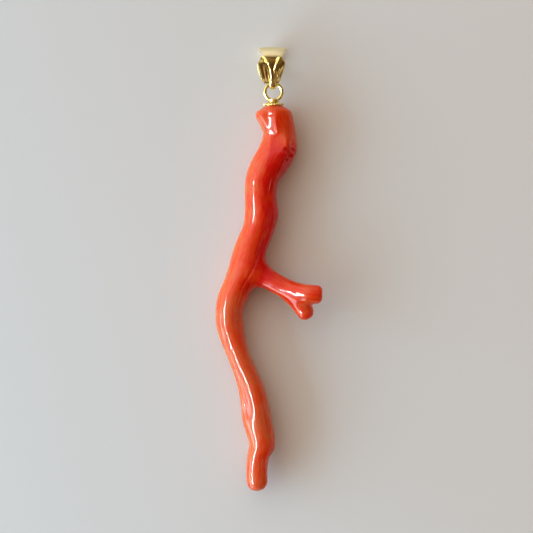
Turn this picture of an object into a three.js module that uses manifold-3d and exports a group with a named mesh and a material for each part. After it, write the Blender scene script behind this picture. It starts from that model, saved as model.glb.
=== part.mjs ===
// A polished branch of red coral worn as a pendant, lying face up.
// The coral is one stem with a side branch that forks into two short tips.
// Gold fittings at the drilled end: a small cap, an eye on a peg, and a bail that swings on the eye.
// Millimetres. +Y runs along the stem towards the bail, and +Z points up from the surface it lies on.

import * as THREE from "three";
import { mergeVertices } from "three/addons/utils/BufferGeometryUtils.js";
import Module from "manifold-3d";

const wasm = await Module();
wasm.setup();

// Driving dimensions
const pegX = 0.9; // the drilled hole runs along Y at this X and Z
const pegZ = 3.35;
const seatY = 29.1; // flat seat at the drilled end, where the cap sits
const seatGap = 0.05;
const holeRadius = 0.55;
const holeDepth = 5.5;
const pegRadius = 0.42;
const pegDepth = 5.0;

const capRadius = 1.85;
const capThick = 0.45;
const collarRadius = 1.08;
const collarHeight = 0.85;

const eyeRadius = 1.52; // to the middle of the wire
const wireRadius = 0.33;
const eyeY = 31.64;

const bailX = 0.76;
const hingeY = eyeY + eyeRadius - 0.06; // middle of the wire within the bail's narrow eyelet
const bailEye = 0.6; // radius of the hole that turns on the eye's wire
const bailEyeOuter = 1.02;
const foldRadius = 2.75; // outside of the strap where it turns over
const foldAhead = 4.1; // from the hinge to the centre of the fold
const foldDrop = -0.58; // the fold droops until it rests on the surface
const strapProud = 0.22; // the strap stands above the leaf
const sheet = 0.42;

const joinGap = 0.1; // left between coral pieces at a fork

// The stem's outline, slice by slice from the drilled end to the tip: y, left, right, underside, top
const stemSlices = [
  [29.1, -0.8, 2.8, 1.65, 5.05],
  [28.8, -1.1, 3.25, 1.25, 5.5],
  [28.1, -2.2, 4.1, 0.6, 6.1],
  [27.1, -2.43, 4.43, 0.25, 6.45],
  [25.5, -1.65, 4.72, 0.15, 6.45],
  [24.0, -1.1, 4.95, 0.1, 6.3],
  [21.7, -1.8, 5.22, 0.0, 6.45],
  [19.7, -3.0, 4.68, 0.0, 6.55],
  [17.55, -3.92, 3.42, 0.05, 6.4],
  [15.4, -4.34, 1.87, 0.15, 6.1],
  [12.9, -4.39, 1.49, 0.25, 5.95],
  [10.0, -4.37, 1.87, 0.3, 6.05],
  [7.5, -4.77, 1.4, 0.3, 6.1],
  [5.0, -5.83, 0.47, 0.25, 6.1],
  [2.45, -6.73, -0.6, 0.15, 6.1],
  [0.0, -7.38, -1.7, 0.05, 6.15],
  [-2.6, -8.37, -2.5, 0.0, 5.95],
  [-5.15, -9.31, -3.5, 0.0, 5.45],
  [-8.0, -9.65, -4.54, 0.0, 5.0],
  [-10.9, -9.43, -4.34, 0.05, 4.85],
  [-14.15, -8.35, -3.74, 0.1, 4.6],
  [-17.7, -6.93, -2.32, 0.05, 4.45],
  [-21.3, -5.71, -0.74, 0.0, 4.6],
  [-24.6, -5.13, 0.16, 0.0, 4.85],
  [-27.45, -4.81, 0.67, 0.1, 5.0],
  [-30.0, -4.03, 1.17, 0.3, 5.1],
  [-31.8, -3.56, 1.28, 0.5, 5.1],
  [-32.9, -3.73, 0.99, 0.65, 5.05],
  [-34.3, -3.96, 0.18, 0.9, 4.9],
  [-36.45, -4.07, -0.13, 1.25, 5.05],
  [-38.6, -3.96, -0.14, 1.6, 5.3],
  [-39.5, -3.55, -0.58, 1.95, 5.0],
  [-40.02, -2.95, -1.35, 2.6, 4.3],
  [-40.14, -2.2, -2.1, 3.4, 3.5],
];

// Swells and hollows on the stem: y, reach along it, degrees round from +X, spread in degrees, height
const stemRelief = [
  { y: 27.2, reach: 1.3, angle: 62, spread: 24, height: -0.28 },
  { y: 25.6, reach: 1.9, angle: 112, spread: 26, height: 0.26 },
  { y: 26.0, reach: 1.6, angle: 165, spread: 26, height: -0.22 },
  { y: 21.6, reach: 2.6, angle: 70, spread: 22, height: 0.22 },
  { y: 19.6, reach: 2.0, angle: 38, spread: 16, height: -0.22 },
  { y: 16.0, reach: 3.2, angle: 85, spread: 40, height: -0.16 },
  { y: 8.0, reach: 5.2, angle: 52, spread: 11, height: -0.2 },
  { y: 3.0, reach: 4.0, angle: 30, spread: 18, height: 0.2 },
  { y: -15.0, reach: 8.5, angle: 138, spread: 20, height: -0.16 },
  { y: -20.0, reach: 8.0, angle: 112, spread: 12, height: 0.13 },
  { y: -27.5, reach: 4.0, angle: 140, spread: 12, height: -0.2 },
  { y: -31.2, reach: 1.6, angle: 110, spread: 30, height: 0.16 },
  { y: -33.4, reach: 1.5, angle: 30, spread: 26, height: -0.14 },
];

// The side branch and its lower tip: x, y, z of the centre line, then the radius
const branchSpine = [
  [-2.6, -0.3, 3.0, 2.3],
  [-0.85, -1.4, 3.5, 2.3],
  [1.26, -2.72, 4.25, 1.86],
  [3.42, -3.8, 5.1, 1.8],
  [5.4, -4.46, 5.85, 1.84],
  [7.2, -4.68, 6.4, 1.76],
  [8.64, -4.72, 6.72, 1.7],
  [9.7, -4.74, 6.9, 1.68],
];
const twigSpine = [
  [3.9, -4.3, 5.25, 1.3],
  [5.35, -6.4, 5.7, 1.46],
  [6.6, -7.9, 6.05, 1.52],
  [7.4, -9.15, 6.3, 1.5],
];
const tipRounding = { branch: 0.9, twig: 1.35 };

// Outline of the leaf from above: x, then distance ahead of the hinge
const leafOutline = [
  [1.1, 0.1],
  [1.25, 0.3],
  [1.62, 1.28],
  [1.98, 2.36],
  [2.22, 3.3],
  [2.2, 3.8],
  [1.95, 4.3],
  [1.55, 4.9],
  [-1.85, 4.9],
  [-2.3, 4.3],
  [-2.68, 3.75],
  [-2.75, 3.0],
  [-2.6, 2.3],
  [-2.32, 1.46],
  [-1.85, 0.5],
  [-1.4, 0.1],
];
// Outline of the strap from above, from the eye to the flared fold
const strapOutline = [
  [0.42, -1.1],
  [0.38, 1.6],
  [0.45, 2.4],
  [0.8, 3.4],
  [1.35, 4.5],
  [1.6, 4.95],
  [1.8, 5.5],
  [2.16, 6.25],
  [2.5, 6.85],
  [2.5, 7.0],
  [-2.6, 7.0],
  [-2.6, 6.7],
  [-2.43, 6.15],
  [-2.16, 5.55],
  [-1.98, 4.95],
  [-1.55, 4.7],
  [-1.04, 3.85],
  [-0.5, 2.45],
  [-0.42, 1.4],
  [-0.42, -1.1],
];

const coralRed = new THREE.MeshStandardMaterial({ color: 0xe0593a, roughness: 0.15, metalness: 0 });
const yellowGold = new THREE.MeshStandardMaterial({ color: 0xe3b75c, roughness: 0.12, metalness: 1 });

function solidOf(geometry) {
  const bare = geometry.clone();
  bare.deleteAttribute("normal");
  bare.deleteAttribute("uv");
  const merged = mergeVertices(bare, 1e-5);
  return new wasm.Manifold(
    new wasm.Mesh({
      numProp: 3,
      vertProperties: new Float32Array(merged.attributes.position.array),
      triVerts: new Uint32Array(merged.index.array),
    }),
  );
}

function geometryOf(solid) {
  const mesh = solid.getMesh();
  const points = new Float32Array(mesh.numVert * 3);
  for (let i = 0; i < mesh.numVert; i++) {
    points.set(mesh.vertProperties.subarray(i * mesh.numProp, i * mesh.numProp + 3), i * 3);
  }
  return new THREE.BufferGeometry()
    .setAttribute("position", new THREE.BufferAttribute(points, 3))
    .setIndex(new THREE.BufferAttribute(new Uint32Array(mesh.triVerts), 1));
}

// A closed skin: a sphere whose vertices are moved to place(share along it, angle round it).
function skin(around, along, place) {
  const geometry = new THREE.SphereGeometry(1, around, along);
  const position = geometry.attributes.position;
  const from = new THREE.Vector3();
  for (let i = 0; i < position.count; i++) {
    from.fromBufferAttribute(position, i);
    const latitude = Math.acos(THREE.MathUtils.clamp(from.y, -1, 1));
    const to = place(latitude, Math.atan2(from.z, from.x));
    position.setXYZ(i, to.x, to.y, to.z);
  }
  return geometry;
}

function reliefAt(y, angle) {
  let height = 0;
  for (const swell of stemRelief) {
    const along = (y - swell.y) / swell.reach;
    const turned = THREE.MathUtils.radToDeg(angle) - swell.angle;
    const round = (((turned % 360) + 540) % 360) - 180;
    height += swell.height * Math.exp(-along * along - (round / swell.spread) ** 2);
  }
  return height;
}

// The stem, grown outwards by the given amount
function stemSkin(grown) {
  const around = 24;
  const ringsPerSlice = 2;
  const edges = [1, 2, 3, 4].map(
    (column) =>
      new THREE.CatmullRomCurve3(
        stemSlices.map((slice) => new THREE.Vector3(slice[column], slice[0], 0)),
        false,
        "catmullrom",
        0.5,
      ),
  );
  const along = (stemSlices.length - 1) * ringsPerSlice + 2;
  return skin(around, along, (latitude, angle) => {
    const ring = Math.round((latitude / Math.PI) * along);
    const share = THREE.MathUtils.clamp((ring - 1) / (along - 2), 0, 1);
    const [left, right, under, top] = edges.map((edge) => edge.getPoint(share));
    const isPole = ring === 0 || ring === along;
    const size = isPole ? 0 : 1;
    const swell = grown + reliefAt(left.y, angle);
    const halfWidth = (right.x - left.x) / 2 + swell;
    const halfDepth = (top.x - under.x) / 2 + swell;
    const endwise = ring <= 1 ? grown : 0;
    return new THREE.Vector3(
      (left.x + right.x) / 2 + size * halfWidth * Math.cos(angle),
      left.y + endwise,
      (under.x + top.x) / 2 + size * halfDepth * Math.sin(angle),
    );
  });
}

// A round limb along a spine, closed by a rounded end at both sides
function limbSkin(spine, around, along, rounding) {
  const path = new THREE.CatmullRomCurve3(spine.map(([x, y, z]) => new THREE.Vector3(x, y, z)));
  const thickness = new THREE.SplineCurve(spine.map((row, i) => new THREE.Vector2(i, row[3])));
  const length = path.getLength();
  return skin(around, along, (latitude, angle) => {
    const share = (1 - Math.cos(latitude)) / 2;
    const toEnd = Math.min(share, 1 - share) * length;
    const inset = 1 - Math.min(1, toEnd / rounding);
    const closing = rounding * (1 - Math.sqrt(Math.max(0, 1 - inset * inset)));
    const full = thickness.getPoint(share).y;
    const radius = toEnd < 1e-6 ? 0 : full - Math.min(closing, full);
    const tangent = path.getTangentAt(share);
    const side = new THREE.Vector3(0, 0, 1).cross(tangent).normalize();
    const up = tangent.clone().cross(side);
    return path
      .getPointAt(share)
      .addScaledVector(side, radius * Math.cos(angle))
      .addScaledVector(up, radius * Math.sin(angle));
  });
}

function drilledHole() {
  const hole = new THREE.CylinderGeometry(holeRadius, holeRadius, holeDepth * 2, 20);
  hole.translate(pegX, seatY, pegZ);
  return solidOf(hole);
}

function coralPieces() {
  const branch = solidOf(limbSkin(branchSpine, 22, 30, tipRounding.branch));
  const twig = solidOf(limbSkin(twigSpine, 18, 18, tipRounding.twig));
  return {
    main_stem: solidOf(stemSkin(0)).subtract(drilledHole()),
    side_branch: branch.add(twig).subtract(solidOf(stemSkin(joinGap))),
  };
}

// A thin round plate with a rounded rim, pierced for the peg
function capSolid() {
  const bore = pegRadius + seatGap;
  const rim = capThick / 2;
  const profile = new THREE.Shape();
  profile.moveTo(bore, 0);
  profile.lineTo(capRadius - rim, 0);
  profile.absarc(capRadius - rim, rim, rim, -Math.PI / 2, Math.PI / 2);
  profile.lineTo(bore, capThick);
  profile.closePath();
  const plate = new THREE.LatheGeometry(profile.getPoints(8), 32);
  plate.translate(pegX, seatY + seatGap, pegZ);
  return solidOf(plate);
}

// The eye is a ring in the XY plane on a collar, and its peg is glued in the drilled hole.
function eyeSolid() {
  const ring = new THREE.TorusGeometry(eyeRadius, wireRadius, 12, 36);
  ring.translate(pegX, eyeY, pegZ);
  const collarBase = seatY + capThick + 2 * seatGap;
  const pegEnd = seatY - pegDepth;
  const profile = new THREE.Shape();
  profile.moveTo(0, pegEnd);
  profile.lineTo(pegRadius, pegEnd);
  profile.lineTo(pegRadius, collarBase);
  profile.lineTo(collarRadius, collarBase);
  profile.quadraticCurveTo(collarRadius, collarBase + collarHeight / 2, 0.7, collarBase + collarHeight);
  profile.lineTo(0, collarBase + collarHeight);
  const peg = new THREE.LatheGeometry(profile.getPoints(4), 20);
  peg.translate(pegX, 0, pegZ);
  return solidOf(ring).add(solidOf(peg));
}

// Side outline of the bail, with the hinge at 0,0: a small circle and a large one and their outer tangents.
function teardrop(shape, small, large, smallAhead = 0) {
  const ahead = foldAhead - smallAhead;
  const drop = foldDrop * (1 - smallAhead / foldAhead);
  const start = foldDrop * (smallAhead / foldAhead);
  const lean = Math.atan2(drop, ahead);
  const spread = Math.acos((small - large) / Math.hypot(ahead, drop));
  shape.absarc(smallAhead, start, small, lean + spread, lean - spread + 2 * Math.PI, false);
  shape.absarc(foldAhead, foldDrop, large, lean - spread, lean + spread, false);
  shape.closePath();
  return shape;
}

// Extrudes a side outline (y, z) across the bail's width.
function acrossBail(shape) {
  const width = 6;
  const bar = new THREE.ExtrudeGeometry(shape, { depth: width, bevelEnabled: false, curveSegments: 16 });
  bar.applyMatrix4(new THREE.Matrix4().set(0, 0, 1, -width / 2, 1, 0, 0, 0, 0, 1, 0, 0, 0, 0, 0, 1));
  return solidOf(bar);
}

// Extrudes an outline seen from above, from the height given upwards.
function throughBail(outline, from) {
  const shape = new THREE.Shape(outline.map(([x, ahead]) => new THREE.Vector2(x, ahead)));
  const plate = new THREE.ExtrudeGeometry(shape, { depth: 4 - from, bevelEnabled: false });
  plate.translate(0, 0, from);
  return solidOf(plate);
}

function bailSolid() {
  const low = foldRadius - strapProud;
  const side = (small, large, ahead) => acrossBail(teardrop(new THREE.Shape(), small, large, ahead));
  const leafShell = side(bailEyeOuter - 0.05, low, 0).subtract(side(bailEye, low - sheet, 0));
  const leaf = leafShell.intersect(throughBail(leafOutline, 0));
  const bar = side(bailEyeOuter, foldRadius, 0).subtract(side(0.35, low - sheet, 1.45));
  const strap = bar.intersect(throughBail(strapOutline, -4));
  const eyelet = acrossBail(new THREE.Shape().absarc(0, 0, bailEye, 0, 2 * Math.PI, false));
  return strap.add(leaf).subtract(eyelet).translate([bailX, hingeY, pegZ]);
}

const pieces = [
  ...Object.entries(coralPieces()).map(([name, solid]) => [name, solid, coralRed]),
  ["end_cap", capSolid(), yellowGold],
  ["eye_peg", eyeSolid(), yellowGold],
  ["bail", bailSolid(), yellowGold],
];

const pendant = new THREE.Group();
for (const [name, solid, material] of pieces) {
  const mesh = new THREE.Mesh(geometryOf(solid), material);
  mesh.name = name;
  pendant.add(mesh);
}

export default pendant;
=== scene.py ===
import bmesh
import bpy
import math
import numpy as np
from mathutils import Matrix, Vector, noise
from mathutils.bvhtree import BVHTree


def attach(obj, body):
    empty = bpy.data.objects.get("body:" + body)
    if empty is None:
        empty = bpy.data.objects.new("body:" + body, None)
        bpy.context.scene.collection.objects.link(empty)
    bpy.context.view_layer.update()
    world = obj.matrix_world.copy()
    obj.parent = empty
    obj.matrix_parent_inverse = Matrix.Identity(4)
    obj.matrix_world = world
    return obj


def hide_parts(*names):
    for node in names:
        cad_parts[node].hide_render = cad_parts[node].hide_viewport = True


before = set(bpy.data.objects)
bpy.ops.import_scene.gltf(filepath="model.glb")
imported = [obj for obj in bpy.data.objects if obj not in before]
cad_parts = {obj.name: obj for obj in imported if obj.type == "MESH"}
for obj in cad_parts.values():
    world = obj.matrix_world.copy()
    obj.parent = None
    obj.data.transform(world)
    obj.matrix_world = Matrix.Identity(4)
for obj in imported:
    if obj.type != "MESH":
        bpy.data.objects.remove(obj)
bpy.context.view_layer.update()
mm = 0.001  # every size below is in millimetres, and meshes are made in metres


def through(rows, at):
    # smooth values between given rows, at fractional row numbers
    rows = np.asarray(rows, float)
    at = np.clip(np.asarray(at, float), 0, len(rows) - 1)
    i = np.minimum(at.astype(int), len(rows) - 2)
    f = (at - i)[:, None]
    a, b = rows[np.maximum(i - 1, 0)], rows[i]
    c, d = rows[i + 1], rows[np.minimum(i + 2, len(rows) - 1)]
    return b + 0.5 * f * (c - a + f * (2 * a - 5 * b + 4 * c - d + f * (3 * (b - c) + d - a)))


def smoothStep(low, high, value):
    t = np.clip((value - low) / (high - low), 0, 1)
    return t * t * (3 - 2 * t)


def meshObject(name, points, faces):
    mesh = bpy.data.meshes.new(name)
    mesh.from_pydata((np.asarray(points, float) * mm).tolist(), [], faces)
    build = bmesh.new()
    build.from_mesh(mesh)
    bmesh.ops.recalc_face_normals(build, faces=build.faces)
    build.to_mesh(mesh)
    build.free()
    obj = bpy.data.objects.new(name, mesh)
    bpy.context.scene.collection.objects.link(obj)
    return obj


def ringFaces(rows, around, closedAlong=False):
    faces = []
    for r in range(rows if closedAlong else rows - 1):
        s = (r + 1) % rows
        for k in range(around):
            n = (k + 1) % around
            faces.append((r * around + k, s * around + k, s * around + n, r * around + n))
    return faces


def closedSkin(name, rings):
    # a closed skin from rings of points, with a point in the middle of the first and the last
    rows, around, _ = rings.shape
    points = np.vstack([rings.reshape(-1, 3), rings[0].mean(0), rings[-1].mean(0)])
    faces = ringFaces(rows, around)
    first, last, top = rows * around, rows * around + 1, (rows - 1) * around
    for k in range(around):
        n = (k + 1) % around
        faces.append((first, k, n))
        faces.append((last, top + n, top + k))
    return meshObject(name, points, faces)


def applied(obj):
    # the object's mesh with its modifiers worked in
    bpy.context.view_layer.update()
    result = bpy.data.meshes.new_from_object(obj.evaluated_get(bpy.context.evaluated_depsgraph_get()))
    obj.modifiers.clear()
    old, obj.data = obj.data, result
    bpy.data.meshes.remove(old)
    result.name = obj.name
    return obj


def joined(name, parts):
    for other in parts[1:]:
        build = bmesh.new()
        build.from_mesh(parts[0].data)
        build.from_mesh(other.data)
        build.to_mesh(parts[0].data)
        build.free()
        bpy.data.objects.remove(other)
    parts[0].name = name
    return parts[0]


def shadeSmooth(obj):
    obj.data.polygons.foreach_set("use_smooth", [True] * len(obj.data.polygons))
    obj.data.update()


class Finish:
    # a material with its nodes made and linked in one call each
    def __init__(self, name):
        self.material = bpy.data.materials.new(name)
        self.material.use_nodes = True
        self.nodes = self.material.node_tree.nodes
        self.links = self.material.node_tree.links
        self.shader = next(n for n in self.nodes if n.type == "BSDF_PRINCIPLED")

    def add(self, kind, settings=None, **inputs):
        node = self.nodes.new(kind)
        for key, value in (settings or {}).items():
            setattr(node, key, value)
        for key, value in inputs.items():
            self.put(node.inputs[key.replace("_", " ")], value)
        return node

    def put(self, socket, value):
        if isinstance(value, bpy.types.NodeSocket):
            self.links.new(value, socket)
        else:
            socket.default_value = value

    def ramp(self, value, stops):
        node = self.add("ShaderNodeValToRGB", Fac=value)
        elements = node.color_ramp.elements
        while len(elements) < len(stops):
            elements.new(0.5)
        for element, (position, color) in zip(elements, stops):
            element.position = position
            element.color = (*color, 1)
        return node.outputs["Color"]

    def noise(self, place, scale, **inputs):
        return self.add("ShaderNodeTexNoise", Vector=place, Scale=scale, **inputs).outputs["Fac"]

    def math(self, operation, first, second):
        node = self.add("ShaderNodeMath", {"operation": operation})
        self.put(node.inputs[0], first)
        self.put(node.inputs[1], second)
        return node.outputs[0]

    def blendColor(self, share, first, second, mode="MIX"):
        node = self.add("ShaderNodeMix", {"data_type": "RGBA", "blend_type": mode})
        self.put(node.inputs[0], share)
        self.put(node.inputs[6], first)
        self.put(node.inputs[7], second)
        return node.outputs[2]


# the coral

coralShape = {
    "around": 200,
    "ringsPerRow": 14,
    "limbAround": 96,
    "limbRings": 160,
    "branchEnd": 0.95,  # how round the branch's and the twig's ends are
    "twigEnd": 1.35,
    "voxel": 0.145,
    "polish": 14,  # rounds of smoothing
    "forkLeft": -7.2,  # the stretch of coral that the fork's web can reach: x from here on
    "forkEnds": (-12.5, 5.5),  # and y between these
    "forkWeb": 2.8,  # how far the stem and the branch run into each other
    "twigWeb": 1.6,
    "lumps": 0.05,
    "lumpScale": 0.32,
    "rippleScale": (1.1, 0.5, 1.1),
    "ripples": 0.4,  # their share of the lumps
    "lowest": 0.03,  # it stays this far off the table
    "seed": 4,
}
drilledHole = {"x": 0.9, "z": 3.35, "radius": 0.55, "depth": 5.5}

# y, left, right, underside, top, from the drilled end to the tip
stemRows = [
    [29.1, -0.8, 2.8, 1.65, 5.05],
    [28.8, -1.1, 3.25, 1.25, 5.6],
    [28.1, -2.2, 4.1, 0.6, 6.28],
    [27.1, -2.43, 4.43, 0.25, 6.6],
    [25.5, -1.6, 4.7, 0.15, 6.43],
    [24.0, -1.05, 4.93, 0.1, 6.22],
    [21.7, -1.75, 5.18, 0.02, 6.45],
    [19.7, -2.95, 4.64, 0.02, 6.55],
    [17.55, -3.84, 3.38, 0.05, 6.4],
    [15.4, -4.25, 1.87, 0.15, 6.18],
    [12.9, -4.3, 1.49, 0.25, 6.12],
    [10.0, -4.28, 1.87, 0.3, 6.04],
    [7.5, -4.67, 1.4, 0.3, 5.85],
    [5.0, -5.73, 0.45, 0.25, 5.75],
    [2.45, -6.62, -0.62, 0.15, 5.78],
    [0.0, -7.26, -1.72, 0.05, 5.83],
    [-2.6, -8.25, -2.53, 0.02, 5.8],
    [-5.15, -9.2, -3.53, 0.02, 5.68],
    [-8.0, -9.55, -4.57, 0.02, 5.45],
    [-10.9, -9.33, -4.38, 0.05, 5.25],
    [-14.15, -8.25, -3.77, 0.1, 5.17],
    [-17.7, -6.83, -2.35, 0.05, 5.27],
    [-21.3, -5.62, -0.77, 0.02, 5.45],
    [-24.6, -5.05, 0.13, 0.02, 5.5],
    [-27.45, -4.74, 0.65, 0.1, 5.4],
    [-30.0, -3.97, 1.15, 0.3, 5.36],
    [-31.8, -3.51, 1.26, 0.5, 5.42],
    [-32.9, -3.68, 0.97, 0.65, 5.42],
    [-34.3, -3.93, 0.16, 0.9, 5.26],
    [-36.45, -4.04, -0.15, 1.25, 5.12],
    [-38.6, -3.93, -0.16, 1.6, 4.98],
    [-39.5, -3.52, -0.6, 1.95, 4.68],
    [-39.98, -2.9, -1.35, 2.5, 4.1],
    [-40.1, -2.2, -2.1, 3.25, 3.4],
]
# swells and hollows: y, reach along the stem, degrees round from +X, spread in degrees, height
stemSwells = [
    (27.2, 1.3, 62, 24, -0.28),
    (25.6, 1.9, 112, 26, 0.12),
    (26.0, 1.6, 165, 26, -0.22),
    (22.2, 1.9, 66, 20, 0.36),
    (22.2, 2.4, 116, 26, -0.3),
    (19.6, 2.0, 38, 16, -0.22),
    (16.0, 3.2, 85, 40, -0.16),
    (3.0, 4.0, 30, 18, 0.16),
    (-31.2, 1.3, 100, 26, 0.04),
    (-33.4, 1.5, 30, 26, -0.14),
    (12.0, 6.0, 255, 30, -0.2),
    (-10.0, 7.0, 285, 26, 0.14),
    (-24.0, 5.0, 300, 24, -0.16),
]
# x, y, z of the middle, then the radius
branchRows = [
    [-3.6, 0.3, 3.4, 1.7],
    [-1.3, -1.15, 3.65, 1.85],
    [1.26, -2.72, 4.2, 1.8],
    [3.42, -3.8, 4.76, 1.78],
    [5.4, -4.46, 5.6, 1.8],
    [7.2, -4.68, 6.5, 1.75],
    [8.64, -4.72, 6.69, 1.66],
    [9.62, -4.74, 6.68, 1.64],
]
twigRows = [
    [3.7, -4.2, 4.0, 1.35],
    [5.35, -6.35, 4.95, 1.45],
    [6.55, -7.88, 5.15, 1.5],
    [7.3, -9.05, 5.05, 1.48],
]


def stemRadiusSwell(y, angle):
    swell = np.zeros(np.broadcast(y, angle).shape)
    for at, reach, middle, spread, height in stemSwells:
        turned = (np.degrees(angle) - middle + 540) % 360 - 180
        swell += height * np.exp(-(((y - at) / reach) ** 2) - (turned / spread) ** 2)
    return swell


def stemSkin():
    angle = np.linspace(0, 2 * np.pi, coralShape["around"], endpoint=False)
    rows = through(stemRows, np.arange(0, len(stemRows) - 1 + 1e-9, 1 / coralShape["ringsPerRow"]))
    y, left, right, under, top = [column[:, None] for column in rows.T]
    swell = stemRadiusSwell(y, angle)
    x = (left + right) / 2 + ((right - left) / 2 + swell) * np.cos(angle)
    z = (under + top) / 2 + ((top - under) / 2 + swell) * np.sin(angle)
    outside = np.stack([x, y + 0 * x, z], -1)
    hole = []
    for depth in np.linspace(drilledHole["depth"], 0, 40):
        circle = np.stack([np.cos(angle), 0 * angle, np.sin(angle)], -1) * drilledHole["radius"]
        hole.append(circle + [drilledHole["x"], stemRows[0][0] - depth, drilledHole["z"]])
    return closedSkin("stemSkin", np.concatenate([hole, outside]))


def limbSkin(name, rows, rounding):
    steps = through(rows, np.linspace(0, len(rows) - 1, coralShape["limbRings"]))
    middle, radius = steps[:, :3], steps[:, 3]
    tangent = np.gradient(middle, axis=0)
    tangent /= np.linalg.norm(tangent, axis=1)[:, None]
    side = np.cross([0, 0, 1], tangent)
    side /= np.linalg.norm(side, axis=1)[:, None]
    up = np.cross(tangent, side)
    length = np.append(0, np.cumsum(np.linalg.norm(np.diff(middle, axis=0), axis=1)))
    inset = 1 - np.clip(np.minimum(length, length[-1] - length) / rounding, 0, 1)
    radius = np.maximum(radius - rounding * (1 - np.sqrt(1 - inset**2)), 0.02)
    angle = np.linspace(0, 2 * np.pi, coralShape["limbAround"], endpoint=False)[None, :, None]
    rings = middle[:, None] + radius[:, None, None] * (
        np.cos(angle) * side[:, None] + np.sin(angle) * up[:, None]
    )
    return closedSkin(name, rings)


# edges left by the polishing wheel: path seen from above (x, y), slope of the facet to its left, its reach
# and how round the edge is
wheelEdges = [
    ([(-7.3, -3.4), (-7.8, -6.9), (-7.72, -9.1), (-7.6, -10.2), (-7.02, -12.3), (-5.15, -16.65),
      (-3.3, -21.0), (-2.2, -25.3), (-2.05, -29.4)], 0.84, 5.5, 0.7),
    ([(1.55, 28.3), (1.4, 26.4), (1.4, 24.8), (1.5, 22.9)], 0.56, 3.4, 0.3),
]
# shallow marks, each a path seen from above (x, y), its width and its depth
topFurrows = [
    ([(-5.6, -19.5), (-4.75, -22.0), (-4.15, -24.6), (-3.85, -27.5)], 0.3, 0.07),
    ([(6.2, -6.2), (7.0, -6.4), (7.9, -6.5)], 0.3, 0.06),
    ([(-0.6, 27.9), (0.3, 28.2), (1.6, 28.0)], 0.14, 0.05),
    ([(-0.9, 27.2), (0.2, 27.5), (1.2, 27.1)], 0.14, 0.04),
    ([(4.75, 21.6), (4.45, 22.9), (4.7, 24.3)], 0.16, 0.1),
    ([(0.22, 12.0), (0.2, 9.3), (-0.3, 7.1), (-0.98, 4.95), (-1.7, 2.8), (-2.42, 0.6), (-3.48, -1.5),
      (-4.83, -3.7), (-5.7, -6.9), (-6.0, -9.5)], 0.22, 0.2),
]
# long soft ridges, in the same way: the skin falls off on both sides of each
topRidges = [
    ([(-8.3, -12.0), (-7.36, -14.5), (-5.54, -18.8), (-3.76, -23.1), (-3.05, -27.5)], 0.3, 0.06),
    ([(-5.3, -20.5), (-5.0, -22.0), (-4.4, -25.3), (-4.1, -27.6)], 0.3, 0.07),
    ([(-1.0, 0.6), (-1.42, -0.5), (-1.8, -1.4)], 0.2, 0.07),
    ([(0.4, -31.0), (0.0, -32.9), (-0.6, -35.0)], 0.25, 0.09),
    ([(1.2, 27.2), (1.25, 26.2), (1.4, 25.2), (1.55, 24.2), (1.6, 23.2)], 0.23, 0.11),
]
underFurrows = [
    ([(0.6, 22.0), (-0.8, 16.0), (-1.2, 9.0), (-3.4, 3.0), (-5.2, -2.0)], 0.4, 0.13),
    ([(-6.4, -8.0), (-5.2, -15.0), (-3.0, -20.0), (-2.0, -26.0)], 0.36, 0.11),
    ([(2.0, -3.4), (4.6, -4.8), (7.2, -5.0)], 0.34, 0.09),
]
# natural pits: x, y, radius, depth, and 1 on top or -1 underneath
pits = [
    (3.3, 21.1, 0.62, 0.5, 1),
    (4.2, 21.3, 0.4, 0.4, 1),
    (3.85, 20.2, 0.42, 0.4, 1),
    (4.35, 22.3, 0.26, 0.22, 1),
    (3.2, 19.5, 0.32, 0.22, 1),
    (-6.4, -3.2, 0.28, 0.08, -1),
    (-2.2, 12.2, 0.45, 0.15, -1),
    (-1.6, 11.4, 0.3, 0.12, -1),
    (-1.4, -33.0, 0.34, 0.1, -1),
]
# flats left by hand polishing: a point on each, its outward direction, its reach and how much is taken off
flats = [
    ((1.75, 22.3, 6.1), (-0.26, 0.2, 0.95), 2.0, 0.95),
    ((3.9, 25.2, 5.3), (0.8, 0.1, 0.8), 3.4, 0.5),
    ((4.4, 22.4, 5.1), (0.95, -0.05, 0.65), 3.0, 0.6),
]


def distanceTo(path, points):
    # distance from each point to a smooth path, and how far along the path it is, from 0 to 1
    steps = through(path, np.linspace(0, len(path) - 1, 70))
    apart = np.linalg.norm(points[:, None] - steps[None], axis=2)
    return apart.min(1), apart.argmin(1) / (len(steps) - 1)


def readPoints(mesh):
    points = np.empty(len(mesh.vertices) * 3, np.float32)
    mesh.vertices.foreach_get("co", points)
    return points.reshape(-1, 3).astype(float) / mm


def writePoints(mesh, points):
    mesh.vertices.foreach_set("co", (points * mm).astype(np.float32).ravel())
    mesh.update()


def skinTree(obj):
    return BVHTree.FromPolygons(
        [v.co / mm for v in obj.data.vertices], [p.vertices[:] for p in obj.data.polygons]
    )


def distances(tree, points):
    # signed distance of each point to a skin, and the way straight out of that skin
    reach, way = np.empty(len(points)), np.empty((len(points), 3))
    for i, point in enumerate(points):
        place, normal, _, apart = tree.find_nearest(point)
        away = Vector(point) - place
        outside = 1 if away.dot(normal) > 0 else -1
        reach[i] = apart * outside
        way[i] = away / apart * outside if apart > 0.01 else normal
    return reach, way


def blended(first, second, web):
    # two skins run into each other over the width of the web
    (a, wayA), (b, wayB) = first, second
    share = np.clip(0.5 + 0.5 * (a - b) / web, 0, 1)
    way = wayA * (1 - share)[:, None] + wayB * share[:, None]
    return a * (1 - share) + b * share - web * share * (1 - share), way


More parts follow.
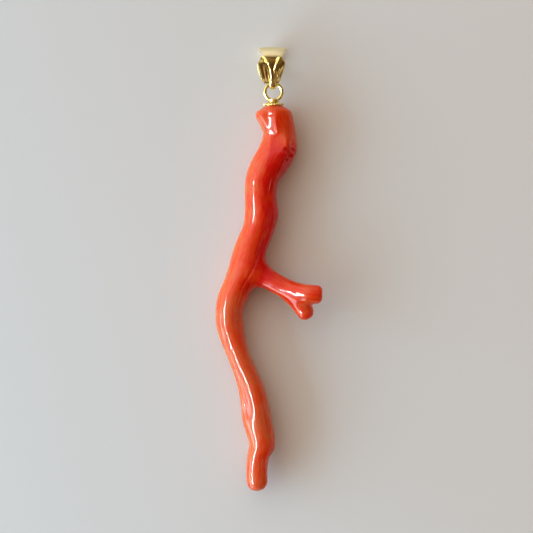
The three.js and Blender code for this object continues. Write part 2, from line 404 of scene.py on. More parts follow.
def fillForks(obj, trees):
    points = readPoints(obj.data)
    low, high = coralShape["forkEnds"]
    near = (points[:, 0] > coralShape["forkLeft"]) & (points[:, 1] > low) & (points[:, 1] < high)
    local = points[near]
    for _ in range(3):
        stem, branch, twig = [distances(tree, local) for tree in trees]
        reach, way = blended(stem, branch, coralShape["forkWeb"])
        reach, way = blended((reach, way), twig, coralShape["twigWeb"])
        local -= way * (reach / np.maximum((way**2).sum(1), 0.4))[:, None]
    points[near] = local
    writePoints(obj.data, points)


def wheelFacet(points, stemTree, path, slope, reach, rounding):
    # grinds the skin to the left of an edge down to an even slope
    steps = through(path, np.linspace(0, len(path) - 1, 160))
    ahead = np.gradient(steps, axis=0)
    ahead /= np.linalg.norm(ahead, axis=1)[:, None]
    right = np.stack([-ahead[:, 1], ahead[:, 0]], -1)

    def height(places):
        above, down = 12, Vector((0, 0, -1))
        return np.array([stemTree.ray_cast(Vector((x, y, above)), down)[0].z for x, y in places])

    crest, aside = height(steps), 0.2
    lean = (crest - height(steps - aside * right)) / aside
    near = np.where(
        (points[:, 1] < steps[:, 1].max()) & (points[:, 1] > steps[:, 1].min()) & (points[:, 2] > 1.8)
    )[0]
    apart = points[near, None, :2] - steps
    at = (apart**2).sum(2).argmin(1)
    beside = np.maximum(-(apart[np.arange(len(near)), at] * right[at]).sum(1), 0)
    along = at / (len(steps) - 1)
    turned = (slope - lean[at]) * (np.sqrt(beside**2 + rounding**2) - rounding)
    over = np.maximum(points[near, 2] - (crest[at] - lean[at] * beside - turned), 0)
    fade = smoothStep(0, 0.2, along) * smoothStep(1, 0.85, along) * smoothStep(reach, 0.4 * reach, beside)
    points[near, 2] -= fade * (beside > 0) * (np.sqrt(over**2 + 1e-4) - 0.01)


def carve(obj, stemTree):
    mesh = obj.data
    points = readPoints(mesh)
    for edge in wheelEdges:
        wheelFacet(points, stemTree, *edge)
    writePoints(mesh, points)
    normals = np.array([n.vector for n in mesh.vertex_normals])
    lift = np.zeros(len(points))
    for way, furrows in ((1, topFurrows), (-1, underFurrows)):
        facing = smoothStep(-0.1, 0.4, normals[:, 2] * way)
        for path, width, depth in furrows:
            apart, along = distanceTo(path, points[:, :2])
            fade = smoothStep(0, 0.25, along) * smoothStep(1, 0.75, along)
            lift -= depth * facing * fade * np.exp(-((apart / width) ** 2))
    facing = smoothStep(-0.1, 0.4, normals[:, 2])
    for path, width, depth in topRidges:
        apart, along = distanceTo(path, points[:, :2])
        fade = smoothStep(0, 0.2, along) * smoothStep(1, 0.8, along)
        fall = 1 - np.exp(-(np.sqrt(apart**2 + 0.01) - 0.1) / width)
        lift -= depth * facing * fade * fall * smoothStep(9 * width, 2.5 * width, apart)
    for x, y, radius, depth, way in pits:
        facing = smoothStep(0, 0.4, normals[:, 2] * way)
        apart = np.hypot(points[:, 0] - x, points[:, 1] - y) / radius
        rim = np.exp(-(((apart - 1.25) / 0.3) ** 2))
        lift -= facing * depth * (np.exp(-((apart * 1.3) ** 2)) - 0.35 * rim)
    offset, ripple = Vector((coralShape["seed"], 0, 0)), Vector(coralShape["rippleScale"])
    rough = np.array([noise.noise(Vector(p) * coralShape["lumpScale"] + offset) for p in points])
    rough += coralShape["ripples"] * np.array([noise.noise(Vector(p) * ripple - offset) for p in points])
    seat = smoothStep(stemRows[0][0] - 0.3, stemRows[0][0] - 1.5, points[:, 1])
    points += normals * ((lift + coralShape["lumps"] * (rough - 0.25)) * seat)[:, None]
    for place, direction, reach, share in flats:
        direction = np.array(direction) / np.linalg.norm(direction)
        above = np.maximum((points - place) @ direction, 0)
        near = smoothStep(reach, reach * 0.6, np.linalg.norm(points - place, axis=1))
        points -= direction * (share * near * above)[:, None]
    points[:, 2] = np.maximum(points[:, 2], coralShape["lowest"])
    writePoints(mesh, points)
    return points


# y and how much paler the coral has grown there
growthTones = [
    (29, 0.45), (26, 0.35), (23, 0.2), (17, 0.05), (5, 0.0), (-4, 0.25), (-9, 0.85), (-15, 1.15), (-30, 1.1),
    (-35, 0.8), (-40, 0.8),
]
# y, where the painted shade begins (the side away from the light made deep red), over what width, and how
# deep it is
paintedShadeSide = [
    (25.5, 0.4, 0.6, 0.0), (22.5, 0.0, 0.5, 0.4), (21.0, -0.2, 0.5, 1.1), (18.0, -0.8, 0.7, 1.4),
    (15.4, -1.9, 1.4, 1.5), (9.0, -2.4, 2.2, 1.6), (4.0, -3.2, 2.4, 1.3), (-2.0, -5.8, 2.6, 0.9),
    (-8.0, -6.8, 2.0, 0.3), (-14.0, -5.5, 2.0, 0.0),
]


def stemSizes(ys):
    # left, right, underside and top of the stem at each y
    dense = through(stemRows, np.linspace(0, len(stemRows) - 1, 900))[::-1]
    return [np.interp(ys, dense[:, 0], dense[:, k]) for k in range(1, 5)]


# the coral's tone: its growth along the stem, a painted lit side on the left and painted shade on the side
# away from the light
def growthAndLightTone(points):
    ys, tones = np.array(growthTones[::-1]).T
    left, right, _, _ = stemSizes(points[:, 1])
    side = (2 * points[:, 0] - left - right) / (right - left)
    # painted highlight: the left side, which faces the light, is made paler
    paintedLitSide = 0.35 * smoothStep(0.05, -0.55, side) + 0.6 * smoothStep(-0.55, -1.0, side)
    paintedLitSide *= 1 - 0.5 * smoothStep(-4, -12, points[:, 1])
    # painted shade: the side away from the light is made deep red
    reds = np.array(paintedShadeSide[::-1]).T
    start, width, red = [np.interp(points[:, 1], reds[0], values) for values in reds[1:]]
    tone = np.interp(points[:, 1], ys, tones) + paintedLitSide - red * smoothStep(start, start + width, points[:, 0])
    onBranch = smoothStep(0.0, 3.0, points[:, 0]) * (points[:, 1] < 0)
    return tone * (1 - onBranch) + 0.1 * onBranch


def growthCoordinates(points):
    # position in a straightened stem and branch, so that the grain runs along both
    left, right, under, top = stemSizes(points[:, 1])
    x, z = points[:, 0] - (left + right) / 2, points[:, 2] - (under + top) / 2
    outside = np.hypot(x / (right - left) * 2, z / (top - under) * 2)
    stem = np.stack([x, points[:, 1] * 0.12, z], -1)
    spine = through(branchRows, np.linspace(0, len(branchRows) - 1, 200))[:, :3]
    apart = np.linalg.norm(points[:, None].astype(np.float32) - spine[None].astype(np.float32), axis=2)
    nearest = apart.argmin(1)
    tangent = np.gradient(spine, axis=0)
    tangent /= np.linalg.norm(tangent, axis=1)[:, None]
    side = np.cross([0, 0, 1], tangent)
    up = np.cross(tangent, side)
    away = points - spine[nearest]
    branch = np.stack(
        [(away * side[nearest]).sum(1), nearest / 200 * 1.4 - 7, (away * up[nearest]).sum(1)], -1
    )
    share = smoothStep(1.05, 1.6, outside)[:, None] * (points[:, :1] > -3)
    return stem * (1 - share) + branch * share


def makeCoral():
    skins = [
        stemSkin(),
        limbSkin("branchSkin", branchRows, coralShape["branchEnd"]),
        limbSkin("twigSkin", twigRows, coralShape["twigEnd"]),
    ]
    trees = [skinTree(skin) for skin in skins]
    coral = joined("coral", skins)
    fuse = coral.modifiers.new("fuse", "REMESH")
    fuse.mode = "VOXEL"
    fuse.voxel_size = coralShape["voxel"] * mm
    polish = coral.modifiers.new("polish", "SMOOTH")
    polish.factor = 0.5
    polish.iterations = coralShape["polish"]
    applied(coral)
    fillForks(coral, trees)
    points = carve(coral, trees[0])
    growth = coral.data.attributes.new("growth", "FLOAT_VECTOR", "POINT")
    growth.data.foreach_set("vector", growthCoordinates(points).astype(np.float32).ravel())
    tone = coral.data.attributes.new("tone", "FLOAT", "POINT")
    tone.data.foreach_set("value", growthAndLightTone(points).astype(np.float32))
    shadeSmooth(coral)
    print("coral:", len(coral.data.vertices), "points")
    return coral


coralFinish = {
    "deep": (0.64, 0.003, 0.001),
    "middle": (0.73, 0.05, 0.003),
    "pale": (0.66, 0.13, 0.035),
    "toneShift": 0.16,
    "roughness": 0.28,
    "ior": 1.42,
    "shine": 0.12,
    "coat": 0.65,  # the polish over it
    "coatRoughness": 0.05,
    "coatIor": 1.48,
    "subsurface": 0.9,
    "subsurfaceDepth": 4.6,
    "bleed": (1.0, 0.12, 0.05),  # how far red, green and blue light go in, as shares of that depth
    "grain": 0.0025,  # height of the fine growth lines
    "lineScale": 3.2,
    "fibreScale": 9.0,
    "cloudScale": 260.0,
    "speckScale": 1500.0,
    "specks": 0.35,  # how strong they are
}


def coralMaterial():
    f = Finish("polishedCoral")
    grown = f.add("ShaderNodeAttribute", {"attribute_name": "growth"}).outputs["Vector"]
    place = f.add("ShaderNodeTexCoord").outputs["Object"]
    lines = f.noise(grown, coralFinish["lineScale"], Detail=4.0, Roughness=0.6)
    fibres = f.noise(grown, coralFinish["fibreScale"], Detail=2.0, Roughness=0.5)
    clouds = f.noise(place, coralFinish["cloudScale"], Detail=3.0, Roughness=0.55)
    dots = f.add("ShaderNodeTexVoronoi", Vector=place, Scale=coralFinish["speckScale"]).outputs["Distance"]
    tone = f.math("ADD", f.math("MULTIPLY", clouds, 0.6), f.math("MULTIPLY", lines, 0.4))
    # the points' tone: growth along the stem, with a painted lit side and painted shade
    toneWithPaintedLight = f.add("ShaderNodeAttribute", {"attribute_name": "tone"}).outputs["Fac"]
    tone = f.math("ADD", tone, f.math("MULTIPLY", toneWithPaintedLight, coralFinish["toneShift"]))
    color = f.ramp(
        tone,
        [(0.3, coralFinish["deep"]), (0.5, coralFinish["middle"]), (0.72, coralFinish["pale"])],
    )
    speck = f.ramp(dots, [(0.06, (0.7, 0.6, 0.55)), (0.22, (1, 1, 1))])
    color = f.blendColor(coralFinish["specks"], color, speck, "MULTIPLY")
    f.put(f.shader.inputs["Base Color"], color)
    wear = f.ramp(lines, [(0.35, (0.8,) * 3), (0.65, (1.25,) * 3)])
    f.put(f.shader.inputs["Roughness"], f.math("MULTIPLY", wear, coralFinish["roughness"]))
    height = f.math("ADD", lines, f.math("MULTIPLY", fibres, 0.35))
    bump = f.add("ShaderNodeBump", Strength=0.6, Distance=coralFinish["grain"] * mm, Height=height)
    f.put(f.shader.inputs["Normal"], bump.outputs["Normal"])
    f.shader.inputs["IOR"].default_value = coralFinish["ior"]
    f.shader.inputs["Specular IOR Level"].default_value = coralFinish["shine"]
    f.shader.inputs["Coat Weight"].default_value = coralFinish["coat"]
    f.shader.inputs["Coat Roughness"].default_value = coralFinish["coatRoughness"]
    f.shader.inputs["Coat IOR"].default_value = coralFinish["coatIor"]
    f.shader.inputs["Subsurface Weight"].default_value = coralFinish["subsurface"]
    f.shader.inputs["Subsurface Radius"].default_value = coralFinish["bleed"]
    f.shader.inputs["Subsurface Scale"].default_value = coralFinish["subsurfaceDepth"] * mm
    return f.material


coral = makeCoral()
coral.data.materials.append(coralMaterial())


# the gold fittings

goldFinish = {
    "color": (0.87, 0.71, 0.28),
    "shade": (0.38, 0.15, 0.04),  # painted shade and painted dark reflection, laid in recesses and over the leaves
    "pale": (0.88, 0.77, 0.47),  # painted pale reflection over the fold, which is also made rougher
    "roughness": 0.15,
    "satinRoughness": 0.42,
    "cloudScale": 900.0,
    "scratchScale": 5200.0,
    "scratches": 0.004,  # their depth
}


def goldMaterial():
    f = Finish("polishedGold")
    place = f.add("ShaderNodeTexCoord").outputs["Object"]
    paintedGoldShade = f.add("ShaderNodeAttribute", {"attribute_name": "paintedGoldShade"}).outputs["Fac"]
    clouds = f.noise(place, goldFinish["cloudScale"], Detail=3.0, Roughness=0.5)
    scratches = f.noise(place, goldFinish["scratchScale"], Detail=2.0)
    # painted shade and dark reflection where that mask is set, broken up by the clouds
    share = f.math("MULTIPLY", paintedGoldShade, f.ramp(clouds, [(0.3, (0.55,) * 3), (0.7, (1,) * 3)]))
    color = f.blendColor(share, (*goldFinish["color"], 1), (*goldFinish["shade"], 1))
    # painted pale reflection on the fold, which is also rougher
    satinAndPaintedSheen = f.add("ShaderNodeAttribute", {"attribute_name": "satinAndPaintedSheen"}).outputs["Fac"]
    color = f.blendColor(satinAndPaintedSheen, color, (*goldFinish["pale"], 1))
    f.put(f.shader.inputs["Base Color"], color)
    wear = f.ramp(clouds, [(0.3, (0.75,) * 3), (0.7, (1.5,) * 3)])
    more = f.math("MULTIPLY", satinAndPaintedSheen, goldFinish["satinRoughness"] - goldFinish["roughness"])
    rough = f.math("ADD", f.math("MULTIPLY", wear, goldFinish["roughness"]), more)
    f.put(f.shader.inputs["Roughness"], rough)
    bump = f.add("ShaderNodeBump", Strength=0.4, Distance=goldFinish["scratches"] * mm, Height=scratches)
    f.put(f.shader.inputs["Normal"], bump.outputs["Normal"])
    f.shader.inputs["Metallic"].default_value = 1
    return f.material


gold = goldMaterial()


# stores two masks on the points: painted shade with dark reflection, and the fold's roughness with its
# painted sheen
def setSurface(obj, paintedGoldShade=0.0, satinAndPaintedSheen=0.0):
    for name, values in (("paintedGoldShade", paintedGoldShade), ("satinAndPaintedSheen", satinAndPaintedSheen)):
        layer = obj.data.attributes.new(name, "FLOAT", "POINT")
        values = np.broadcast_to(np.ravel(values), len(obj.data.vertices)) if np.ndim(values) == 0 else values
        layer.data.foreach_set("value", np.ravel(values).astype(np.float32))


def turnedRings(profile, x, y, z, around=96):
    # a profile of (radius, height) turned round +Y
    angle = np.linspace(0, 2 * np.pi, around, endpoint=False)
    rings = [
        np.stack([x + r * np.cos(angle), np.full(around, y + h), z + r * np.sin(angle)], -1)
        for r, h in profile
    ]
    return np.array(rings)


capShape = {
    "y": 29.15,
    "radius": 1.85,
    "thick": 0.36,
    "bore": 0.47,
    "beads": 22,
    "beadRadius": 0.22,
    "beadLift": 0.26,  # height of the beads' middles over the cap's foot
    "rimInset": 0.12,  # how far the plate's edge is inside the beads
    "shoulder": 0.1,  # how much the plate rises at its middle
}


def beadTree():
    tree = bpy.data.node_groups.new("beadedRim", "GeometryNodeTree")
    sizes = {"Rim Radius": 1.0, "Bead Radius": 0.1, "Lift": 0.0}
    for label, value in sizes.items():
        socket = tree.interface.new_socket(label, in_out="INPUT", socket_type="NodeSocketFloat")
        socket.default_value = value
    count = tree.interface.new_socket("Beads", in_out="INPUT", socket_type="NodeSocketInt")
    count.default_value = 12
    finish = tree.interface.new_socket("Finish", in_out="INPUT", socket_type="NodeSocketMaterial")
    tree.interface.new_socket("Geometry", in_out="OUTPUT", socket_type="NodeSocketGeometry")
    new, link = tree.nodes.new, tree.links.new
    start, end = new("NodeGroupInput"), new("NodeGroupOutput")
    circle = new("GeometryNodeMeshCircle")
    link(start.outputs["Beads"], circle.inputs["Vertices"])
    link(start.outputs["Rim Radius"], circle.inputs["Radius"])
    bead = new("GeometryNodeMeshUVSphere")
    bead.inputs["Segments"].default_value = 20
    bead.inputs["Rings"].default_value = 12
    link(start.outputs["Bead Radius"], bead.inputs["Radius"])
    spread = new("GeometryNodeInstanceOnPoints")
    link(circle.outputs["Mesh"], spread.inputs["Points"])
    link(bead.outputs["Mesh"], spread.inputs["Instance"])
    lift = new("ShaderNodeCombineXYZ")
    link(start.outputs["Lift"], lift.inputs["Z"])
    move = new("GeometryNodeTransform")
    link(spread.outputs["Instances"], move.inputs["Geometry"])
    link(lift.outputs["Vector"], move.inputs["Translation"])
    real = new("GeometryNodeRealizeInstances")
    link(move.outputs["Geometry"], real.inputs["Geometry"])
    smooth = new("GeometryNodeSetShadeSmooth")
    link(real.outputs["Geometry"], smooth.inputs["Geometry"])
    coat = new("GeometryNodeSetMaterial")
    link(smooth.outputs["Geometry"], coat.inputs["Geometry"])
    link(start.outputs["Finish"], coat.inputs["Material"])
    link(coat.outputs["Geometry"], end.inputs["Geometry"])
    return tree


def makeBeads():
    host = bpy.data.objects.new("capBeads", bpy.data.meshes.new("capBeads"))
    bpy.context.scene.collection.objects.link(host)
    rim = host.modifiers.new("beads", "NODES")
    rim.node_group = beadTree()
    wanted = {
        "Rim Radius": (capShape["radius"] - capShape["beadRadius"]) * mm,
        "Bead Radius": capShape["beadRadius"] * mm,
        "Lift": capShape["beadLift"] * mm,
        "Beads": capShape["beads"],
        "Finish": gold,
    }
    for item in rim.node_group.interface.items_tree:
        if item.in_out == "INPUT":
            rim[item.identifier] = wanted[item.name]
    applied(host)
    turn = Matrix.Rotation(-math.pi / 2, 4, "X")
    host.data.transform(
        Matrix.Translation((drilledHole["x"] * mm, capShape["y"] * mm, drilledHole["z"] * mm)) @ turn
    )
    return host


def makeCap():
    r, t, bore = capShape["radius"] - capShape["rimInset"], capShape["thick"], capShape["bore"]
    top = t + capShape["shoulder"]
    profile = [
        (bore, 0.0), (1.0, 0.0), (r - 0.1, 0.0), (r - 0.02, 0.02), (r, 0.1), (r - 0.02, t - 0.08),
        (r - 0.12, t), (r - 0.3, t), (r - 0.38, t - 0.05), (r - 0.48, t - 0.02), (1.0, top - 0.04),
        (0.8, top), (bore, top),
    ]
    rings = turnedRings(profile, drilledHole["x"], capShape["y"], drilledHole["z"])
    cap = meshObject("cap", rings.reshape(-1, 3), ringFaces(len(profile), 96, closedAlong=True))
    soften = cap.modifiers.new("soften", "SUBSURF")
    soften.levels = soften.render_levels = 1
    applied(cap)
    cap.data.materials.append(gold)
    shadeSmooth(cap)
    return joined("goldCap", [cap, makeBeads()])


cap = makeCap()
setSurface(cap)

eyeShape = {
    "y": 31.64,
    "radius": 1.52,
    "wire": 0.33,
    "collarTop": 30.5,
    "collarBase": 29.68,
    "wrapRadius": 0.82,  # of the wire wound round the foot of the ring
    "wrapWire": 0.22,
    "wrapTurns": 2.2,
    "wrapStart": 2.4,  # where it starts, in radians round from +X
    "wrapTuck": 0.3,  # how far its ends go in
    "collarRadius": 0.76,
    "pegRadius": 0.42,
    "pegEnd": 24.12,
}


def makeWrap(x, z):
    # wire wound round the foot of the ring, its ends tucked in
    steps, around = 150, 20
    share = np.linspace(0, 1, steps)
    angle = eyeShape["wrapStart"] + 2 * np.pi * eyeShape["wrapTurns"] * share
    tuck = smoothStep(0, 0.08, share) * smoothStep(1, 0.92, share)
    wide = eyeShape["wrapRadius"] - eyeShape["wrapTuck"] * (1 - tuck)
    wire = eyeShape["wrapWire"] * (0.4 + 0.6 * tuck)
    low = eyeShape["collarBase"] + eyeShape["wrapWire"] - 0.02
    rise = (eyeShape["collarTop"] - eyeShape["collarBase"] - 2 * eyeShape["wrapWire"]) * share
    turn = np.linspace(0, 2 * np.pi, around, endpoint=False)
    out = wide[:, None] + wire[:, None] * np.cos(turn)
    rings = np.stack(
        [
            x + out * np.cos(angle)[:, None],
            low + rise[:, None] + wire[:, None] * np.sin(turn),
            z + out * np.sin(angle)[:, None],
        ],
        -1,
    )
    return closedSkin("wrap", rings)


def makeEye():
    x, z = drilledHole["x"], drilledHole["z"]
    steps, around = 128, 32
    angle = np.linspace(0, 2 * np.pi, steps, endpoint=False)
    turn = np.linspace(0, 2 * np.pi, around, endpoint=False)
    wide = eyeShape["radius"] + eyeShape["wire"] * np.cos(turn)
    rings = np.stack(
        [
            x + np.outer(np.cos(angle), wide),
            eyeShape["y"] + np.outer(np.sin(angle), wide),
            z + np.outer(np.ones(steps), eyeShape["wire"] * np.sin(turn)),
        ],
        -1,
    )
    ring = meshObject("ring", rings.reshape(-1, 3), ringFaces(steps, around, closedAlong=True))
    base, top, wide = eyeShape["collarBase"], eyeShape["collarTop"], eyeShape["collarRadius"]
    end, peg = eyeShape["pegEnd"], eyeShape["pegRadius"]
    profile = [
        (0.02, end), (peg - 0.06, end), (peg, end + 0.08), (peg, end + 1.88), (peg, base - 0.02), (0.6, base),
        (wide - 0.02, base + 0.02), (wide, base + 0.1), (wide, base + 0.6), (wide - 0.06, base + 0.7),
        (0.4, top - 0.04), (0.02, top),
    ]
    collar = closedSkin("collar", turnedRings(profile, x, 0, z))
    wrap = makeWrap(x, z)
    for part in (ring, collar, wrap):
        soften = part.modifiers.new("soften", "SUBSURF")
        soften.levels = soften.render_levels = 1
        applied(part)
    eye = joined("goldEye", [ring, collar, wrap])
    eye.data.materials.append(gold)
    shadeSmooth(eye)
    return eye


eye = makeEye()
setSurface(eye)

bailShape = {
    "x": 0.76,  # middle of the eye's wire where the bail hangs on it
    "y": 33.1,
    "z": 3.35,
    "eyelet": 0.8,  # radius of the strap's middle layer round the eye's wire
    "fold": 2.54,  # the same where it turns over
    "ahead": 3.98,  # middle of the fold, ahead of the wire
    "drop": -0.56,  # and its height over the wire
    "sheet": 0.36,
    "edge": 0.07,  # how far the sheet's edges are rounded off
    "crown": 0.12,  # how much the strap is rounded where it goes round the wire
    "channel": 0.4,  # its depth, as a share of half the strap's width
    "deepest": 0.5,  # where the channel is deepest, from -1 at its left edge to 1 at its right
    "roll": 0.13,  # how much the strap's edges are rounded down
    "rollWidth": 0.17,
    "lip": 0.22,  # how far the corners of the fold curl back
    "leafSheet": 0.24,
    "leafDrop": 0.24,  # how far a leaf lies under the strap
    "leafTilt": {-1: 0.05, 1: -0.2},  # height of each leaf's outer edge over its inner one
    "leafWave": 0.018,
    "leafRim": {-1: 0.1, 1: 0.0},
    "leafVein": 0.07,
    "leafDimple": 0.14,
    "leafCrest": 0.14,
    "leafLift": 0.4,  # how far the lower end of a leaf stands up, clear of the ring when the bail is lifted
}
# distance ahead of the hinge, left edge and right edge
strapRows = [
    (-1.0, -0.3, 0.3),
    (-0.8, -0.46, 0.44),
    (-0.3, -0.54, 0.52),
    (0.5, -0.48, 0.46),
    (1.2, -0.38, 0.36),
    (2.45, -0.5, 0.45),
    (3.4, -0.86, 0.8),
    (3.9, -1.06, 1.04),
    (4.7, -1.5, 1.34),
    (4.95, -1.72, 1.5),
    (5.5, -1.88, 1.72),
    (6.0, -2.08, 1.96),
    (6.3, -2.3, 2.2),
    (6.52, -2.6, 2.5),
    (6.7, -2.7, 2.6),
]
# distance ahead of the hinge, inner edge and outer edge of the left leaf and of the right one
leafRows = {
    -1: [
        (0.02, -0.5, -1.42), (0.5, -0.4, -1.9), (1.46, -0.38, -2.33), (2.3, -0.42, -2.6),
        (3.0, -0.6, -2.74), (3.7, -0.9, -2.68), (4.25, -1.2, -2.35), (4.85, -1.5, -1.95),
    ],
    1: [
        (0.12, 0.5, 1.12), (0.5, 0.4, 1.32), (1.28, 0.38, 1.62), (2.36, 0.45, 1.98),
        (3.2, 0.7, 2.2), (3.75, 0.9, 2.2), (4.2, 1.1, 2.0), (4.8, 1.3, 1.6),
    ],
}


def loopPath(small, large, steps):
    # side view of the strap: round the wire, out to the fold, over it and back; (ahead, height)
    ahead, drop = bailShape["ahead"], bailShape["drop"]
    lean = math.atan2(drop, ahead)
    spread = math.acos((small - large) / math.hypot(ahead, drop))
    near = [lean + spread + (2 * math.pi - 2 * spread) * k / 24 for k in range(25)]
    far = [lean - spread + 2 * spread * k / 60 for k in range(61)]
    corners = [(small * math.cos(a), small * math.sin(a)) for a in near]
    corners += [(ahead + large * math.cos(a), drop + large * math.sin(a)) for a in far]
    corners = np.array(corners + corners[:1])
    length = np.append(0, np.cumsum(np.linalg.norm(np.diff(corners, axis=0), axis=1)))
    at = np.linspace(0, length[-1], steps, endpoint=False)
    path = np.stack([np.interp(at, length, corners[:, k]) for k in (0, 1)], -1)
    out = np.roll(path, -1, 0) - np.roll(path, 1, 0)
    out = np.stack([out[:, 1], -out[:, 0]], -1) / np.linalg.norm(out, axis=1)[:, None]
    return path, out


def sheetFaces(rows, across, closed=False):
    return [
        (r * across + k, (r + 1) % rows * across + k, (r + 1) % rows * across + k + 1, r * across + k + 1)
        for r in range(rows if closed else rows - 1)
        for k in range(across - 1)
    ]


def makeStrap():
    steps, across = 220, 25
    path, out = loopPath(bailShape["eyelet"], bailShape["fold"], steps)
    rows = np.array(strapRows)
    left, right = [np.interp(path[:, 0], rows[:, 0], rows[:, k]) for k in (1, 2)]
    front = out[:, 1] > 0
    u = np.linspace(-1, 1, across)
    sunk = smoothStep(4.95, 4.5, path[:, 0]) * smoothStep(0.0, 1.4, path[:, 0]) * front
    deepest = bailShape["deepest"]
    groove = sunk[:, None] * np.minimum((1 + u) / (1 + deepest), (1 - u) / (1 - deepest)) ** 0.8
    curl = smoothStep(4.6, 6.6, path[:, 0])[:, None] * np.abs(u) ** 2.5
    half = (right - left)[:, None] / 2
    roll = smoothStep(bailShape["rollWidth"], 0, half * (1 - np.abs(u)))
    roll = roll * (front * smoothStep(5.0, 4.6, path[:, 0]))[:, None]
    rise = -bailShape["channel"] * half * groove - bailShape["lip"] * curl - bailShape["roll"] * roll
    crown = bailShape["crown"] * smoothStep(0.6, -0.4, path[:, 0])[:, None] * u**2
    x = (left + right)[:, None] / 2 + half * u
    at = path[:, None] + (rise - crown)[..., None] * out[:, None]
    points = np.stack([x + bailShape["x"], at[..., 0] + bailShape["y"], at[..., 1] + bailShape["z"]], -1)
    strap = meshObject("strap", points.reshape(-1, 3), sheetFaces(steps, across, closed=True))
    # the fold: rougher, and painted paler as a reflection
    satinAndPaintedSheen = smoothStep(4.5, 5.2, path[:, 0])[:, None] + 0 * u
    # painted shade along the channel, and painted sheen on the fold
    setSurface(strap, groove**1.5, satinAndPaintedSheen)
    return strap


def makeLeaf(side):
    # a petal beside the strap: nearly flat, with veins and a dimple, and falling off at its outer edge
    long, across = 72, 31
    rows = through(leafRows[side], np.linspace(0, len(leafRows[side]) - 1, long))
    path, out = loopPath(bailShape["eyelet"] - 0.02, bailShape["fold"] - 0.1, 400)
    top = out[:, 1] > 0.05
    order = np.argsort(path[top, 0])
    height = np.interp(rows[:, 0], path[top, 0][order], path[top, 1][order])
    r = np.linspace(0, 1, across)
    ahead = rows[:, :1]
    x = rows[:, 1:2] + (rows[:, 2:3] - rows[:, 1:2]) * r
    veins = smoothStep(3.3, 2.2, ahead) * smoothStep(0.2, 1.0, ahead)
    veins = veins * (np.exp(-(((r - 0.3) / 0.09) ** 2)) + 0.9 * np.exp(-(((r - 0.58) / 0.08) ** 2)))
    dimple = np.exp(-(((ahead - 2.9) / 0.4) ** 2) - ((r - 0.6) / 0.2) ** 2)
    crest = np.exp(-(((ahead - 3.75) / 0.25) ** 2)) * np.sin(np.pi * r) * (side < 0)
    # painted shade: a spot on the right leaf made darker, where there is no recess
    dark = np.exp(-(((ahead - 3.7) / 0.35) ** 2) - ((r - 0.75) / 0.3) ** 2) * (side > 0)
    tilt = bailShape["leafTilt"][side] * (r - 0.5)
    rim = bailShape["leafRim"][side] * np.exp(-(((r - 0.9) / 0.06) ** 2)) - 0.2 * smoothStep(0.87, 1.0, r)
    wave = bailShape["leafWave"] * np.sin(4.6 * ahead + side) * np.sin(6.5 * r + ahead)
    marks = bailShape["leafVein"] * veins + bailShape["leafDimple"] * dimple + wave
    lift = bailShape["leafLift"] * smoothStep(1.1, 0.15, ahead)
    z = height[:, None] - bailShape["leafDrop"] + tilt - marks + bailShape["leafCrest"] * crest + rim + lift
    points = np.stack([x + bailShape["x"], ahead + 0 * x + bailShape["y"], z + bailShape["z"]], -1)
    leaf = meshObject("leaf", points.reshape(-1, 3), sheetFaces(long, across))
    if leaf.data.polygons[long * across // 2].normal.z < 0:
        leaf.data.flip_normals()
    # painted shade over the veins and the dimple, on that spot and thinly over the whole leaf
    setSurface(leaf, np.clip(veins + 0.5 * dimple + 1.3 * dark + 0.1, 0, 1), np.zeros(z.shape))
    return leaf


def makeBail():
    parts = [makeStrap(), makeLeaf(-1), makeLeaf(1)]
    thicknesses = bailShape["sheet"], bailShape["leafSheet"], bailShape["leafSheet"]
    for part, thick in zip(parts, thicknesses):
        body = part.modifiers.new("sheet", "SOLIDIFY")
        body.thickness = thick * mm
        body.offset = 0 if part.name == "strap" else -1
        edge = part.modifiers.new("edge", "BEVEL")
        edge.width = bailShape["edge"] * mm
        edge.segments = 2
        edge.limit_method = "ANGLE"
        edge.angle_limit = math.radians(50)
        soften = part.modifiers.new("soften", "SUBSURF")
        soften.levels = soften.render_levels = 1
        applied(part)
    bail = joined("goldBail", parts)
    bail.data.materials.append(gold)
    shadeSmooth(bail)
    return bail


bail = makeBail()
print("gold:", len(cap.data.vertices), len(eye.data.vertices), len(bail.data.vertices), "points")

for piece, body, finish, nodes in (
    (coral, "coral_branch", "coral", ("main_stem", "side_branch")),
    (cap, "coral_branch", "gold", ("end_cap",)),
    (eye, "coral_branch", "gold", ("eye_peg",)),
    (bail, "bail", "gold", ("bail",)),
):
    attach(piece, body)
    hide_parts(*nodes)


# table, light and camera

photoView = {
    "width": 95.94,  # what the picture's width covers on the object
    "middle": (-0.36, 0.27, 3.0),
    "distance": 500.0,
}
tableFinish = {"reach": 900, "color": (0.72, 0.715, 0.70), "roughness": 0.75, "shine": 0.15}
# name, azimuth and elevation in degrees, distance, size, watts, colour, and which rays don't see the light
lights = [
    ("window", 196, 17, 380, (488, 163), 1.9, (0.45, 0.76, 1.02), "glossy"),
    ("ceiling", 20, 62, 400, (500, 500), 0.27, (1.0, 0.66, 0.52), "glossy"),
    ("panel", 213, 9, 420, (470, 190), 2.2, (0.85, 0.93, 1.0), "diffuse"),
    ("lamp", 195, 40, 450, (275, 28), 3.3, (1.0, 1.0, 1.0), "diffuse"),
    ("sideLamp", 346, 35, 450, (200, 30), 0.08, (1.0, 0.93, 0.88), "diffuse"),
]


def makeTable():
    r = tableFinish["reach"]
    table = meshObject("table", [(-r, -r, 0), (r, -r, 0), (r, r, 0), (-r, r, 0)], [(0, 1, 2, 3)])
    f = Finish("paleTable")
    f.shader.inputs["Base Color"].default_value = (*tableFinish["color"], 1)
    f.shader.inputs["Roughness"].default_value = tableFinish["roughness"]
    f.shader.inputs["Specular IOR Level"].default_value = tableFinish["shine"]
    table.data.materials.append(f.material)


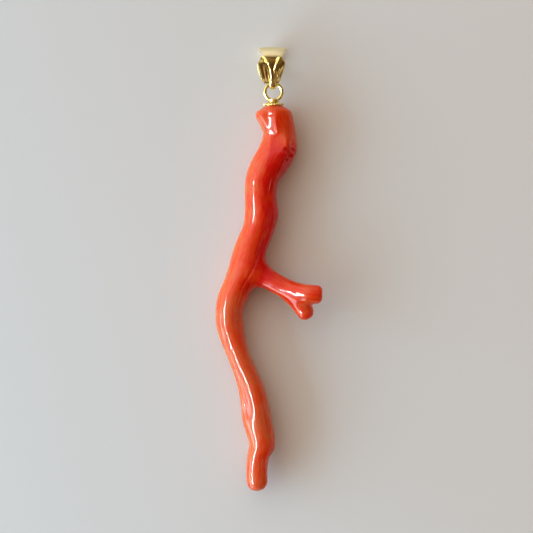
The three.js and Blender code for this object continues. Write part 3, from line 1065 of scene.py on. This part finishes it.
def makeLight(name, azimuth, elevation, distance, size, power, color, unseen):
    # azimuth counts from +X towards +Y, and the light faces the object
    light = bpy.data.lights.new(name, "AREA")
    light.shape = "RECTANGLE"
    light.size, light.size_y = size[0] * mm, size[1] * mm
    light.energy = power
    light.color = color
    obj = bpy.data.objects.new(name, light)
    a, e = math.radians(azimuth), math.radians(elevation)
    way = Vector((math.cos(e) * math.cos(a), math.cos(e) * math.sin(a), math.sin(e)))
    obj.location = way * distance * mm
    obj.rotation_euler = way.to_track_quat("Z", "Y").to_euler()
    obj.visible_glossy = unseen != "glossy"
    obj.visible_diffuse = unseen != "diffuse"
    bpy.context.scene.collection.objects.link(obj)


# the room seen from the object: how far round towards the bright wall, and the colour of the light from there
roomLight = {
    "brightSide": (-0.86, 0.5, 0.0),
    "levels": [
        (-0.5, (0.11, 0.065, 0.03)),
        (-0.12, (0.28, 0.2, 0.12)),
        (0.05, (0.42, 0.31, 0.23)),
        (0.39, (0.84, 0.76, 0.66)),
        (0.6, (1.28, 1.22, 1.12)),
        (0.87, (1.72, 1.7, 1.64)),
    ],
}


def makeWorld():
    world = bpy.data.worlds.new("room")
    bpy.context.scene.world = world
    world.use_nodes = True
    nodes, links = world.node_tree.nodes, world.node_tree.links
    nodes.clear()
    out, back = nodes.new("ShaderNodeOutputWorld"), nodes.new("ShaderNodeBackground")
    place, along = nodes.new("ShaderNodeTexCoord"), nodes.new("ShaderNodeVectorMath")
    along.operation = "DOT_PRODUCT"
    along.inputs[1].default_value = roomLight["brightSide"]
    half = nodes.new("ShaderNodeMath")
    half.operation = "MULTIPLY_ADD"
    half.inputs[1].default_value = half.inputs[2].default_value = 0.5
    ramp = nodes.new("ShaderNodeValToRGB")
    elements = ramp.color_ramp.elements
    while len(elements) < len(roomLight["levels"]):
        elements.new(0.5)
    for element, (position, color) in zip(elements, roomLight["levels"]):
        element.position = position / 2 + 0.5
        element.color = (*color, 1)
    links.new(place.outputs["Generated"], along.inputs[0])
    links.new(along.outputs["Value"], half.inputs[0])
    links.new(half.outputs[0], ramp.inputs["Fac"])
    links.new(ramp.outputs["Color"], back.inputs["Color"])
    links.new(back.outputs[0], out.inputs[0])


def makeCamera():
    camera = bpy.data.cameras.new("camera")
    camera.sensor_width = 36
    camera.lens = camera.sensor_width * photoView["distance"] / photoView["width"]
    obj = bpy.data.objects.new("camera", camera)
    obj.location = (Vector(photoView["middle"]) + Vector((0, 0, photoView["distance"]))) * mm
    bpy.context.scene.collection.objects.link(obj)
    bpy.context.scene.camera = obj


makeTable()
for row in lights:
    makeLight(*row)
makeWorld()
makeCamera()
bpy.context.scene.view_settings.view_transform = "Standard"
print("table, light and camera are set")
